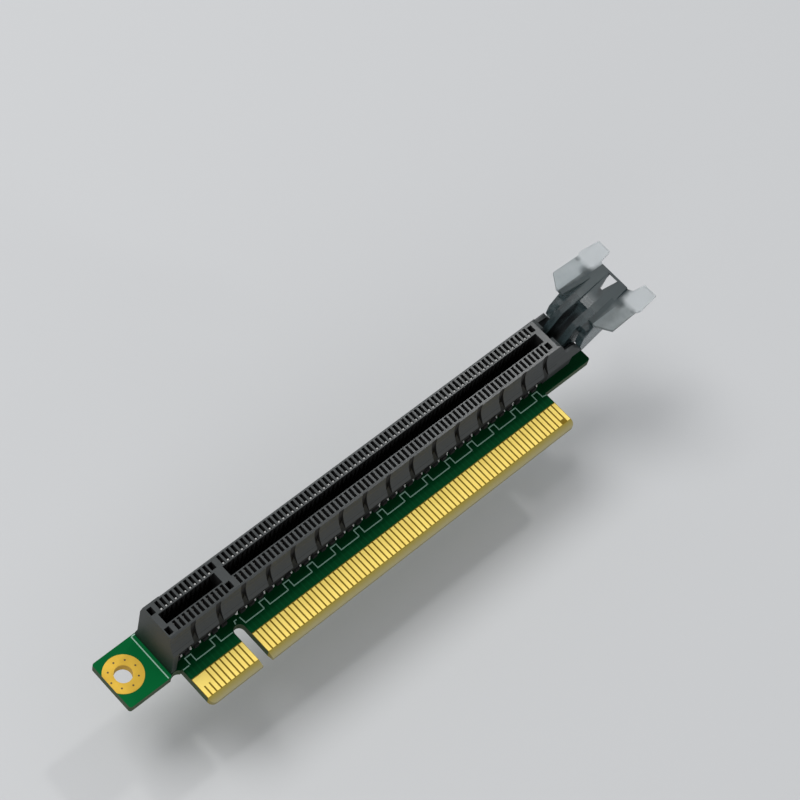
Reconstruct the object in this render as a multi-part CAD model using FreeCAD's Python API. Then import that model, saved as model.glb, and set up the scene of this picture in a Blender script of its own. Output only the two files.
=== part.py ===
"""Expansion riser card: a slot connector on a board with its own edge fingers.

The card lies flat on its back, on the tips of the soldered contact tails.
While it is modelled, x runs along the slot from contact 1, y across it with
the edge fingers at minus y, and z up from the board's connector side.
The finished pieces are moved so that the origin is the middle of the floor
under the card.
"""
import FreeCAD, Part
import math
import os

from FreeCAD import Vector

# Contact field
PITCH = 1.0                  # from one contact to the next
POSITIONS = 82               # contacts on each side of the slot
KEY_AFTER = 11               # contacts before the key
KEY_SPAN = 3.0               # from the last contact before the key to the first after it
ROW_INNER = 1.25             # tail rows, from the centre line
ROW_OUTER = 3.25
ZONES = {"power": (1, 11), "x1": (12, 18), "x4": (19, 32), "x8": (33, 49), "x16": (50, 82)}

# Circuit board
BOARD_THICK = 1.6
BOARD_BEFORE = 11.2          # reach before contact 1, round the mounting hole
BOARD_AFTER = 11.85          # reach after the last contact, under the latch
BOARD_FAR = 4.5
BOARD_NEAR = 5.3
BOARD_CORNER_R = 0.5
TONGUE_TIP = 13.05           # from the centre line to the mating edge
TONGUE_MARGIN = 0.45         # board beside the centres of the end fingers
TONGUE_CORNER_R = 1.0
BEVEL_LENGTH = 1.25
BEVEL_DEPTH = 0.45
KEY_NOTCH_WIDTH = 2.15
KEY_NOTCH_TOP = 4.9          # from the centre line to the round end
RELIEF_R = 1.25              # round notch between the hole's lug and the tongue
RELIEF_TOP = 4.85

# Edge fingers
FINGER_WIDTH = 0.7
FINGER_THICK = 0.05
FINGER_TOP = 7.75            # from the centre line
FINGER_BOTTOM = 11.75
DETECT_SHORTER = 0.82        # the presence finger stops short of the others
PRESENCE_FINGER = 81
JOINED_FINGERS = 3           # the first fingers on the connector side are one pad
JOINED_SLIT = 0.3
JOINED_SLIT_TOP = 9.8

# Mounting hole
HOLE_BEFORE = 8.27           # from contact 1
HOLE_R = 1.6
LAND_R = 3.48
LAND_THICK = 0.05

# Connector housing
HOUSING_TOP = 11.25
HOUSING_BEFORE = 2.3         # reach before contact 1
HOUSING_AFTER = 2.4          # deck's reach after the last contact
DECK_HALF = 3.44
DECK_CHAMFER = 0.3
WALL_HALF = 3.5              # side wall under the deck
WALL_BREAK = 9.6             # where the wall starts to spread into the hood
HOOD_HIGH = (3.65, 8.8)      # half width and height of the hood's curve
HOOD_LOW = (4.05, 7.7)
HOOD_LIP = (4.8, 6.3)
HOOD_WALL = 0.45             # thickness of the hood at its lip
HOOD_ROOT = 7.0              # height where the hood's inside meets the base
BASE_HALF = 3.55
BASE_BOTTOM = 1.06           # gap over the board, where the tails show
PLAIN_HALF = 3.85            # far wall beside the first contacts
PLAIN_BREAK = 9.4
PLAIN_END = 1.0              # where the far hood starts
PLATE_THICK = 1.1            # end plate that stands on the board
PLATE_FOOT = (4.3, 0.7, 2.5)  # foot of the plate: half width, its height, start of its slope
SLOT_HALF = 1.08
SLOT_MARGIN = 1.12           # slot past the end contacts
SLOT_FLOOR = 2.85
KEY_RIB = 1.8
CAVITY_WIDTH = 0.6
CAVITY_REACH = 3.05
POCKET_SIDE = 1.0            # empty square pockets at the ends and at the key
POCKET_NEAR = 1.5
POCKET_FAR = 2.85
POCKET_FLOOR = 8.0
POCKET_STEP = 1.62           # from an end contact to the pocket before it
KEY_POCKET_STEP = 1.1        # from the last contact before the key to the pocket after it
RECESSES = 16
RECESS_FIRST = 1.95
RECESS_WIDTH = 1.0
RECESS_PITCH = 5.3333
RECESS_FLOOR = 3.4
RECESS_TOP = 10.7

# Latch ears of the housing
EAR_INNER = 2.6              # inner face beside the latch's legs
EAR_STEP = 6.0               # height where the ear starts to spread
EAR_RIM_INNER = 3.5          # inner face above the spread
EAR_TOP = 7.75               # tangent to the ear's round end about the pivot
EAR_FOOT_CUT = 0.75          # the ear's end is cut back by this much at the board
EAR_END_FLATS = 4            # flats of its quarter-round end
SHOULDER_RUN = 2.4           # the deck falls to the ears over this length
SHOULDER_BENDS = ((0.35, 0.12), (0.7, 0.55))  # bends of the fall, as shares of its run and its drop
SHOULDER_INNER = 2.9
END_BLOCK = 1.2              # thick end block past the deck, each side of the hook's gap
END_GAP_HALF = 1.2
FLOOR_THICK = 1.3            # housing floor between the ears
PIVOT_AFTER = 5.6            # pivot from the last contact
PIVOT_HEIGHT = 4.6
PIVOT_R = 1.1
PIVOT_CLEARANCE = 0.06

# Contacts
CONTACT_WIDTH = 0.4
CONTACT_STEM = 0.25
CONTACT_TIP = 0.16
TAIL_TIP = 2.6               # below the board's connector side
STEM_TOP = 2.1
KNEE_HEIGHT = 1.5            # where an inner tail bends to its stem
STEM_OUT = 2.7               # stem of an inner contact, from the centre line
TOUCH_HALF = 0.72            # from the centre line to where the card is touched
TOUCH_HEIGHT = 7.9
LEAD_HALF = 1.38             # top of the contact
LEAD_HEIGHT = 10.2

# Latch, as it lies open; places along x are from the last contact
LATCH_GAP = 0.15             # side play between the ears
CHANNEL_HALF = 1.15          # room for the card's hook
LEG_TOP = 9.1                # the arms spread over the ears above this
ARM_HALF = 4.02
ARM_SPREAD = 8.7             # the wide part of the arm starts here
ARM_LOBE = (8.1, 10.8)       # front of the arm: place, height
ARM_NECK = (10.3, 11.4)
ARM_BACK = (13.6, 8.1)
FOOT_RING = ((-1.6, 0.9), (2.0, -0.9), (1.0, -2.0), (-1.0, -2.0), (-1.6, -0.9))
BAR_REACH = 19.1
BAR_TOP = 14.05
BAR_HALF = 2.94
BAR_DEPTH = 1.1
BAR_LEAN = 0.55              # the bar's end face leans out by this much
WEB_START = 12.0
WEB_THICK = 1.0
WINDOW_LENGTH = 2.8
WINDOW_FROM_BAR = 0.4
WINDOW_HALF = 1.1            # at the bar
WINDOW_LOW_HALF = 0.3        # at the window's other end
CHEEK_INNER = 3.0
CHEEK_OUTER = 4.4
CHEEK_CLEAR = 0.15           # between the cheek's round end and the ears
CHEEK_OUTLINE = (
    (9.3, 10.0), (10.4, 11.3), (9.8, 12.5), (18.0, 12.5),
    (13.7, 7.0), (9.3, 4.7), (8.0, 4.9), (8.4, 9.0),
)
WING_TOP = 13.1
WING_THICK = 0.6
WING_ROOT = 3.3              # inner edge of the wing, inside the cheek
WING_START = 9.5
WING_START_HALF = 4.8
WING_BEND = 11.4
WING_HALF = 7.5
WING_WAIST = 17.4
WING_WAIST_HALF = 7.3
PAD_START = 18.2             # thumb pad at the wing's end
PAD_HALF = 7.7
PAD_END = 22.6
PAD_END_HALF = 7.2
PAD_INNER = 4.4
PAD_ROOT = (20.0, 4.0)

TOUCHING = 1e-6              # points nearer than this are one point


def contact_x(number):
    """Place of a contact position along the slot."""
    if number <= KEY_AFTER:
        return (number - 1) * PITCH
    return (number - 2) * PITCH + KEY_SPAN


LAST_X = contact_x(POSITIONS)
KEY_X = contact_x(KEY_AFTER) + KEY_SPAN / 2
BOARD_LEFT = -BOARD_BEFORE
BOARD_RIGHT = LAST_X + BOARD_AFTER
TONGUE_LEFT = -TONGUE_MARGIN
TONGUE_RIGHT = LAST_X + TONGUE_MARGIN
HOLE_X = -HOLE_BEFORE
HOUSING_LEFT = -HOUSING_BEFORE
DECK_RIGHT = LAST_X + HOUSING_AFTER
PIVOT_X = LAST_X + PIVOT_AFTER
EAR_END_R = EAR_TOP - PIVOT_HEIGHT
EAR_RIGHT = PIVOT_X + EAR_END_R
LEG_OUTER = EAR_INNER - LATCH_GAP
BAR_X = LAST_X + BAR_REACH
THROUGH = BOARD_FAR + TONGUE_TIP     # reach of cutters that pass right through


def box(x_range, y_range, z_range):
    """Box between two corners, each range as (low, high)."""
    low = Vector(x_range[0], y_range[0], z_range[0])
    return Part.makeBox(x_range[1] - x_range[0], y_range[1] - y_range[0], z_range[1] - z_range[0], low)


def across(points, x_low, x_high):
    """Prism along x from an outline of (y, z) points."""
    wire = Part.makePolygon([Vector(x_low, y, z) for y, z in list(points) + [points[0]]])
    return Part.Face(wire).extrude(Vector(x_high - x_low, 0, 0))


def along(points, y_low, y_high):
    """Prism along y from an outline of (x, z) points."""
    wire = Part.makePolygon([Vector(x, y_low, z) for x, z in list(points) + [points[0]]])
    return Part.Face(wire).extrude(Vector(0, y_high - y_low, 0))


def upright(points, z_low, z_high):
    """Prism along z from an outline of (x, y) points."""
    wire = Part.makePolygon([Vector(x, y, z_low) for x, y in list(points) + [points[0]]])
    return Part.Face(wire).extrude(Vector(0, 0, z_high - z_low))


def rod(x, z, radius, y_low, y_high):
    """Round rod along y."""
    return Part.makeCylinder(radius, y_high - y_low, Vector(x, y_low, z), Vector(0, 1, 0))


def mirrored(shape):
    """The same shape on the other side of the slot's centre line."""
    return shape.mirror(Vector(0, 0, 0), Vector(0, 1, 0))


def both_sides(shape):
    """A shape and its mirror image as a list."""
    return [shape, mirrored(shape)]


def rounded_outline(points, z_low, z_high):
    """Prism from (x, y, radius) corners, each radius zero for a sharp corner."""
    edges = []
    start = None
    first = None
    count = len(points)
    for index in range(count):
        x, y, radius = points[index]
        corner = Vector(x, y, z_low)
        before = Vector(points[index - 1][0], points[index - 1][1], z_low)
        after = Vector(points[(index + 1) % count][0], points[(index + 1) % count][1], z_low)
        if radius > 0:
            back = (before - corner).normalize()
            ahead = (after - corner).normalize()
            half = back.getAngle(ahead) / 2
            reach = radius / math.tan(half)
            entry = corner + back * reach
            leave = corner + ahead * reach
            middle_way = (back + ahead).normalize()
            middle = corner + middle_way * (radius / math.sin(half) - radius)
            arc = Part.Arc(entry, middle, leave).toShape()
        else:
            entry = corner
            leave = corner
            arc = None
        if start is None:
            first = entry
        elif (entry - start).Length > TOUCHING:
            edges.append(Part.LineSegment(start, entry).toShape())
        if arc is not None:
            edges.append(arc)
        start = leave
    edges.append(Part.LineSegment(start, first).toShape())
    return Part.Face(Part.Wire(edges)).extrude(Vector(0, 0, z_high - z_low))


def circuit_board():
    """Board with its tongue, notches, bevelled mating edge and holes."""
    bottom = -BOARD_THICK
    strip = rounded_outline([
        (BOARD_LEFT, -BOARD_NEAR, BOARD_CORNER_R),
        (BOARD_RIGHT, -BOARD_NEAR, BOARD_CORNER_R),
        (BOARD_RIGHT, BOARD_FAR, BOARD_CORNER_R),
        (BOARD_LEFT, BOARD_FAR, BOARD_CORNER_R),
    ], bottom, 0)
    tongue = rounded_outline([
        (TONGUE_LEFT, -TONGUE_TIP, TONGUE_CORNER_R),
        (TONGUE_RIGHT, -TONGUE_TIP, TONGUE_CORNER_R),
        (TONGUE_RIGHT, 0, 0),
        (TONGUE_LEFT, 0, 0),
    ], bottom, 0)
    board = strip.fuse(tongue)
    notch_r = KEY_NOTCH_WIDTH / 2
    notch_y = -KEY_NOTCH_TOP - notch_r
    relief_centre = Vector(TONGUE_LEFT - RELIEF_R, -RELIEF_TOP - RELIEF_R, bottom)
    cutters = [
        Part.makeCylinder(notch_r, BOARD_THICK, Vector(KEY_X, notch_y, bottom)),
        box((KEY_X - notch_r, KEY_X + notch_r), (-THROUGH, notch_y), (bottom, 0)),
        Part.makeCylinder(RELIEF_R, BOARD_THICK, relief_centre),
        Part.makeCylinder(HOLE_R, BOARD_THICK, Vector(HOLE_X, 0, bottom)),
    ]
    slope = -TONGUE_TIP + BEVEL_LENGTH
    for outer, inner in ((0, -BEVEL_DEPTH), (bottom, bottom + BEVEL_DEPTH)):
        wedge = [(slope, outer), (-TONGUE_TIP, outer), (-TONGUE_TIP, inner)]
        cutters.append(across(wedge, TONGUE_LEFT, TONGUE_RIGHT))
    return board.cut(cutters).removeSplitter()


def finger(number, connector_side):
    """One gold pad of the tongue."""
    x = contact_x(number)
    bottom = -FINGER_BOTTOM
    if connector_side and number == PRESENCE_FINGER:
        bottom += DETECT_SHORTER
    z_low = 0 if connector_side else -BOARD_THICK - FINGER_THICK
    half = FINGER_WIDTH / 2
    return box((x - half, x + half), (bottom, -FINGER_TOP), (z_low, z_low + FINGER_THICK))


def joined_pad():
    """First pads on the connector side, one piece with slits from below."""
    half = FINGER_WIDTH / 2
    left = contact_x(1) - half
    right = contact_x(JOINED_FINGERS) + half
    pad = box((left, right), (-FINGER_BOTTOM, -FINGER_TOP), (0, FINGER_THICK))
    for number in range(1, JOINED_FINGERS):
        middle = (contact_x(number) + contact_x(number + 1)) / 2
        slit_x = (middle - JOINED_SLIT / 2, middle + JOINED_SLIT / 2)
        pad = pad.cut(box(slit_x, (-FINGER_BOTTOM, -JOINED_SLIT_TOP), (0, FINGER_THICK)))
    return pad


def fingers(zone, connector_side):
    """All pads of one zone on one face of the tongue."""
    first, last = ZONES[zone]
    pads = []
    if connector_side and first <= JOINED_FINGERS:
        pads.append(joined_pad())
        first = JOINED_FINGERS + 1
    for number in range(first, last + 1):
        pads.append(finger(number, connector_side))
    return Part.makeCompound(pads)


def mounting_hole_plating():
    """Gold lands of the screw hole, one on each face, trimmed by the board's end."""
    bottom = -BOARD_THICK - LAND_THICK
    lands = [
        Part.makeCylinder(LAND_R, LAND_THICK, Vector(HOLE_X, 0, 0)),
        Part.makeCylinder(LAND_R, LAND_THICK, Vector(HOLE_X, 0, bottom)),
    ]
    bore = Part.makeCylinder(HOLE_R, LAND_THICK - bottom, Vector(HOLE_X, 0, bottom))
    beyond = box((BOARD_LEFT - LAND_R, BOARD_LEFT), (-LAND_R, LAND_R), (bottom, LAND_THICK))
    return Part.makeCompound([land.cut([bore, beyond]) for land in lands])


def hood_side():
    """Outline of one flared side wall, from the deck down to the base."""
    lip_y, lip_z = HOOD_LIP
    return [
        (DECK_HALF - DECK_CHAMFER, HOUSING_TOP),
        (DECK_HALF, HOUSING_TOP - DECK_CHAMFER),
        (WALL_HALF, WALL_BREAK),
        HOOD_HIGH,
        HOOD_LOW,
        HOOD_LIP,
        (lip_y - HOOD_WALL / 2, lip_z - HOOD_WALL / 2),
        (BASE_HALF, HOOD_ROOT),
        (BASE_HALF, BASE_BOTTOM),
    ]


def plain_side():
    """Outline of the straight far wall beside the first contacts."""
    return [
        (DECK_HALF, HOUSING_TOP),
        (PLAIN_HALF, PLAIN_BREAK),
        (PLAIN_HALF, BASE_BOTTOM),
    ]


def plate_side(half_plain):
    """Outline of the end plate, down to the board, on its near or its far side."""
    if half_plain:
        foot_y, foot_z, slope_z = PLATE_FOOT
        return [
            (DECK_HALF, HOUSING_TOP),
            (PLAIN_HALF, PLAIN_BREAK),
            (PLAIN_HALF, slope_z),
            (foot_y, foot_z),
            (foot_y, 0),
        ]
    return hood_side()[:6] + [(HOOD_LIP[0], 0)]


def closed_section(near, far):
    """Whole cross-section from its near and its far side."""
    return [(-y, z) for y, z in near] + list(reversed(far))


def ear_outline():
    """Side view of one latch ear with the shoulder that joins it to the deck."""
    drop = HOUSING_TOP - EAR_TOP
    fall = [(DECK_RIGHT + SHOULDER_RUN * run, HOUSING_TOP - drop * down) for run, down in SHOULDER_BENDS]
    round_end = []
    for step in range(EAR_END_FLATS + 1):
        angle = math.pi / 2 * step / EAR_END_FLATS
        round_end.append((PIVOT_X + EAR_END_R * math.sin(angle), PIVOT_HEIGHT + EAR_END_R * math.cos(angle)))
    return [
        (DECK_RIGHT, 0),
        (DECK_RIGHT, HOUSING_TOP),
        *fall,
        (DECK_RIGHT + SHOULDER_RUN, EAR_TOP),
        *round_end,
        (EAR_RIGHT - EAR_FOOT_CUT, 0),
    ]


def ear_side():
    """Outline of an ear's outer face: the hood over a narrow wall down to the board."""
    return hood_side()[:8] + [(BASE_HALF, 0)]


def ear_room():
    """Room for the latch between the ears, wider over their step."""
    spread = EAR_RIM_INNER - EAR_INNER
    half = [
        (EAR_INNER, FLOOR_THICK),
        (EAR_INNER, EAR_STEP),
        (EAR_RIM_INNER, EAR_STEP + spread),
        (EAR_RIM_INNER, HOUSING_TOP),
    ]
    block_x = DECK_RIGHT + END_BLOCK
    shoulder = box((block_x, EAR_RIGHT), (-SHOULDER_INNER, SHOULDER_INNER), (EAR_STEP, HOUSING_TOP))
    legs = box((block_x, EAR_RIGHT), (-EAR_INNER, EAR_INNER), (FLOOR_THICK, EAR_STEP))
    gap = box((DECK_RIGHT, block_x), (-END_GAP_HALF, END_GAP_HALF), (FLOOR_THICK, HOUSING_TOP))
    return [shoulder, legs, gap, across(closed_section(half, half), DECK_RIGHT + SHOULDER_RUN, EAR_RIGHT)]


def latch_ears():
    """Two ears that carry the latch, cut from a block to the hood's outline."""
    block = across(closed_section(ear_side(), ear_side()), DECK_RIGHT, EAR_RIGHT)
    ears = block.common(along(ear_outline(), -THROUGH, THROUGH))
    holes = rod(PIVOT_X, PIVOT_HEIGHT, PIVOT_R + PIVOT_CLEARANCE, -THROUGH, THROUGH)
    return ears.cut(ear_room() + [holes])


def slot_cutters():
    """Card slot in two compartments, contact cavities and empty pockets."""
    slot_z = (SLOT_FLOOR, HOUSING_TOP)
    slot_y = (-SLOT_HALF, SLOT_HALF)
    cutters = [
        box((-SLOT_MARGIN, KEY_X - KEY_RIB / 2), slot_y, slot_z),
        box((KEY_X + KEY_RIB / 2, LAST_X + SLOT_MARGIN), slot_y, slot_z),
    ]
    half = CAVITY_WIDTH / 2
    for number in range(1, POSITIONS + 1):
        x = contact_x(number)
        cutters.append(box((x - half, x + half), (-CAVITY_REACH, CAVITY_REACH), slot_z))
    pocket_z = (POCKET_FLOOR, HOUSING_TOP)
    key_pocket = KEY_X - KEY_SPAN / 2 + KEY_POCKET_STEP
    pocket_centres = (-POCKET_STEP, key_pocket, LAST_X + POCKET_STEP - POCKET_SIDE / 2)
    for x in pocket_centres:
        pocket = box((x - POCKET_SIDE / 2, x + POCKET_SIDE / 2), (POCKET_NEAR, POCKET_FAR), pocket_z)
        cutters.extend(both_sides(pocket))
    return cutters


def recess_cutters():
    """Upright recesses that divide the near side wall into panels."""
    cutters = []
    for index in range(RECESSES):
        x = RECESS_FIRST + index * RECESS_PITCH
        cutters.append(box((x, x + RECESS_WIDTH), (-THROUGH, -RECESS_FLOOR), (BASE_BOTTOM, RECESS_TOP)))
    return cutters


def connector_housing():
    """Moulded slot connector with its hoods, cavities, recesses and ears."""
    near = hood_side()
    pieces = [
        across(closed_section(near, near), PLAIN_END, DECK_RIGHT),
        across(closed_section(plate_side(False), plate_side(True)), HOUSING_LEFT, HOUSING_LEFT + PLATE_THICK),
        latch_ears(),
    ]
    plate_wall = box((DECK_RIGHT - PLATE_THICK, DECK_RIGHT), (-BASE_HALF, BASE_HALF), (0, BASE_BOTTOM))
    pieces.append(plate_wall)
    body = across(closed_section(near, plain_side()), HOUSING_LEFT, PLAIN_END).fuse(pieces)
    return body.cut(slot_cutters() + recess_cutters()).removeSplitter()


def contact_outline(outer_tail):
    """Side view of one contact: pointed tail, stem, beam, touching bend and lead-in."""
    stem = CONTACT_STEM / 2
    if outer_tail:
        root = [(ROW_OUTER, -TAIL_TIP), (ROW_OUTER + stem, STEM_TOP)]
        inside = [(ROW_OUTER - stem, STEM_TOP - CONTACT_STEM)]
    else:
        root = [
            (ROW_INNER, -TAIL_TIP),
            (ROW_INNER + stem, KNEE_HEIGHT - CONTACT_STEM),
            (STEM_OUT + stem, STEM_TOP),
        ]
        inside = [(STEM_OUT - stem, STEM_TOP + CONTACT_STEM), (ROW_INNER - stem, KNEE_HEIGHT)]
    tip = [
        (TOUCH_HALF + CONTACT_TIP, TOUCH_HEIGHT),
        (LEAD_HALF + CONTACT_TIP, LEAD_HEIGHT),
        (TOUCH_HALF, TOUCH_HEIGHT),
    ]
    return root + tip + inside


def contacts(zone, far_side):
    """All contacts of one zone on one side, their tails in two rows by turns."""
    first, last = ZONES[zone]
    half = CONTACT_WIDTH / 2
    pieces = []
    for number in range(first, last + 1):
        x = contact_x(number)
        piece = across(contact_outline(number % 2 == 0), x - half, x + half)
        pieces.append(piece if far_side else mirrored(piece))
    return Part.makeCompound(pieces)


def from_last(points):
    """Points given from the last contact, as places along x."""
    return [(LAST_X + x, other) for x, other in points]


def arm_outline():
    """Side view of a latch arm from its round foot to the bar."""
    foot = [(PIVOT_X + x, PIVOT_HEIGHT + z) for x, z in FOOT_RING]
    upper = from_last([ARM_LOBE, ARM_NECK])
    bar = [(BAR_X, BAR_TOP), (BAR_X + BAR_LEAN, BAR_TOP - BAR_DEPTH)]
    return foot[:1] + upper + bar + from_last([ARM_BACK]) + foot[1:]


def arm():
    """One latch arm: a narrow leg between the ears, wider above them."""
    leg = along(arm_outline(), CHANNEL_HALF, LEG_OUTER)
    spread_x = LAST_X + ARM_SPREAD
    neck_x = LAST_X + ARM_NECK[0]
    end_x = BAR_X + BAR_DEPTH
    plan = upright([
        (spread_x, CHANNEL_HALF),
        (spread_x, ARM_HALF),
        (neck_x, ARM_HALF),
        (end_x, BAR_HALF),
        (end_x, CHANNEL_HALF),
    ], LEG_TOP, BAR_TOP)
    return leg.fuse(along(arm_outline(), CHANNEL_HALF, ARM_HALF).common(plan))


def web_outline():
    """Side view of the web between the arms: under the bar, then down the back of the channel."""
    neck_x, neck_z = ARM_NECK
    rise = (BAR_TOP - neck_z) / (BAR_REACH - neck_x)
    start_z = BAR_TOP - (BAR_REACH - WEB_START) * rise - WEB_THICK / 2
    back = from_last([ARM_BACK])[0]
    foot = (PIVOT_X + FOOT_RING[1][0], PIVOT_HEIGHT + FOOT_RING[1][1])
    return [
        (LAST_X + WEB_START, start_z),
        (BAR_X, BAR_TOP),
        (BAR_X + BAR_LEAN, BAR_TOP - BAR_DEPTH),
        back,
        foot,
        (foot[0] - WEB_THICK, foot[1] + WEB_THICK / 2),
        (back[0] - WEB_THICK, back[1] + WEB_THICK / 2),
    ]


def cheek():
    """Side plate that joins an arm to its wing, with a round end that clears the ear."""
    plate = along(from_last(CHEEK_OUTLINE), CHEEK_INNER, CHEEK_OUTER)
    swing = rod(PIVOT_X, PIVOT_HEIGHT, EAR_END_R + CHEEK_CLEAR, LEG_OUTER, THROUGH)
    return plate.cut(swing)


def wing():
    """Finger wing of the latch: a flat plate, wider at its thumb pad."""
    outline = from_last([
        (WING_START, WING_ROOT),
        (WING_START, WING_START_HALF),
        (WING_BEND, WING_HALF),
        (WING_WAIST, WING_WAIST_HALF),
        (PAD_START, PAD_HALF),
        (PAD_END, PAD_END_HALF),
        (PAD_END, PAD_INNER),
        PAD_ROOT,
        (BAR_REACH, BAR_HALF - WING_THICK),
    ])
    return upright(outline, WING_TOP - WING_THICK, WING_TOP)


def window():
    """Cutter of the window in the web: widest at the bar, its end wall parallel to the bar's end face."""
    start = BAR_X - WINDOW_FROM_BAR - WINDOW_LENGTH
    end = BAR_X - WINDOW_FROM_BAR
    lean = BAR_LEAN * (BAR_TOP - EAR_TOP) / BAR_DEPTH
    outline = [(start, BAR_TOP), (end, BAR_TOP), (end + lean, EAR_TOP), (start, EAR_TOP)]
    plan = upright([
        (start, -WINDOW_LOW_HALF),
        (start, WINDOW_LOW_HALF),
        (end, WINDOW_HALF),
        (end + lean, WINDOW_HALF),
        (end + lean, -WINDOW_HALF),
        (end, -WINDOW_HALF),
    ], EAR_TOP, BAR_TOP)
    return along(outline, -WINDOW_HALF, WINDOW_HALF).common(plan)


def latch():
    """Card latch in clear smoky plastic: two arms, web, bar, cheeks and wings."""
    pin = rod(PIVOT_X, PIVOT_HEIGHT, PIVOT_R, CHANNEL_HALF, BASE_HALF - LATCH_GAP)
    side = arm().fuse([pin, cheek(), wing()])
    web = along(web_outline(), -CHANNEL_HALF, CHANNEL_HALF)
    body = side.fuse([mirrored(side), web])
    return body.cut(window()).removeSplitter()


def build():
    """All pieces by node name."""
    pieces = {
        "circuit_board": circuit_board(),
        "mounting_hole_plating": mounting_hole_plating(),
        "connector_housing": connector_housing(),
        "card_latch": latch(),
    }
    for zone in ZONES:
        pieces["fingers_front_" + zone] = fingers(zone, True)
        pieces["fingers_back_" + zone] = fingers(zone, False)
        pieces["contacts_near_" + zone] = contacts(zone, False)
        pieces["contacts_far_" + zone] = contacts(zone, True)
    return pieces


def main():
    """Write each piece with the origin in the middle of the floor under the card."""
    os.makedirs("parts", exist_ok=True)
    pieces = build()
    extent = Part.makeCompound(list(pieces.values())).BoundBox
    shift = Vector(-extent.Center.x, -extent.Center.y, -extent.ZMin)
    for name, shape in pieces.items():
        shape.translate(shift)
        shape.exportStep("parts/" + name + ".step")
    print("origin shift", round(shift.x, 4), round(shift.y, 4), round(shift.z, 4))


main()
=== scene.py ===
"""Looks of a flat slot riser card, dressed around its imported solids.

Sizes in the classes are in millimetres on the card's own datum: x runs along
the slot from contact 1, y across it with the edge fingers at minus y, and z up
from the connector side of the board. Datum.at turns them into scene metres.
"""
from __future__ import annotations

import logging
import math
from dataclasses import dataclass
from enum import Enum
from typing import Iterable, Sequence

import bmesh
import bpy
from mathutils import Matrix, Vector

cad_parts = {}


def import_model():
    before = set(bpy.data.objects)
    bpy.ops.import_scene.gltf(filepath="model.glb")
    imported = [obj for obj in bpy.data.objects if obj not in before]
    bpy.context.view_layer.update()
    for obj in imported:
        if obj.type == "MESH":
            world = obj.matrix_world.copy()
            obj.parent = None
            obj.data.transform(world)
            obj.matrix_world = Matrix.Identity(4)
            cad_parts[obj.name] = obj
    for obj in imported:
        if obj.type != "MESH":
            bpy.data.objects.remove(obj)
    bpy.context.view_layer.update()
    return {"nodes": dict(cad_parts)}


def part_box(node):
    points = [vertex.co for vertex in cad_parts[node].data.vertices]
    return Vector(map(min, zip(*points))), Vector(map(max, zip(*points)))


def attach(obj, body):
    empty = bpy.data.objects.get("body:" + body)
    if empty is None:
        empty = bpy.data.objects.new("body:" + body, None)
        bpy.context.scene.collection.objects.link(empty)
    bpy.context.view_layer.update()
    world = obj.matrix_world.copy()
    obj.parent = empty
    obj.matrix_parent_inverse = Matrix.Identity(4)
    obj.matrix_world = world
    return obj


LOG = logging.getLogger("riser_card")
MM = 0.001
MERGE = 1e-7
PITCH = 1.0
POSITIONS = 82
KEY_AFTER = 11
KEY_SPAN = 3.0
ZONES = ((1, KEY_AFTER), (KEY_AFTER + 1, POSITIONS))
SIDES = (-1, 1)
PANEL_PITCH = 16.0 / 3.0

Point2 = tuple[float, float]
Point3 = tuple[float, float, float]
Colour = tuple[float, float, float]
Socket = bpy.types.NodeSocket
Piece = bpy.types.Object
Material = bpy.types.Material


class Body(Enum):
    """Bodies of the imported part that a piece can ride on."""

    CARD = "card"
    LATCH = "latch"


class Slot(Enum):
    """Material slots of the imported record."""

    BOARD = "board_green"
    GOLD = "gold"
    HOUSING = "housing_grey"
    SILVER = "contact_silver"
    LATCH = "latch_smoky"


@dataclass(frozen=True)
class Datum:
    """Place of the card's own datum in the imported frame.

    Args:
        origin: scene point of contact 1 on the board's connector side, metres.
    """

    origin: Vector

    @classmethod
    def from_frame(cls, before: float = 11.2, far: float = 4.5) -> "Datum":
        """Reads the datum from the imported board.

        Args:
            before: board's reach before contact 1.
            far: board's reach past the centre line on its far side.

        Returns:
            The datum in scene metres.
        """
        low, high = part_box("circuit_board")
        return cls(Vector((low.x + before * MM, high.y - far * MM, high.z)))

    def at(self, x: float, y: float, z: float) -> Vector:
        """Scene point of a place given in millimetres on the card."""
        return self.origin + Vector((x, y, z)) * MM


def contact_x(number: int) -> float:
    """Place of a contact position along the slot.

    Args:
        number: contact position, from 1.

    Returns:
        Its x on the card, in millimetres.
    """
    if number <= KEY_AFTER:
        return (number - 1) * PITCH
    return (number - 2) * PITCH + KEY_SPAN


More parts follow.
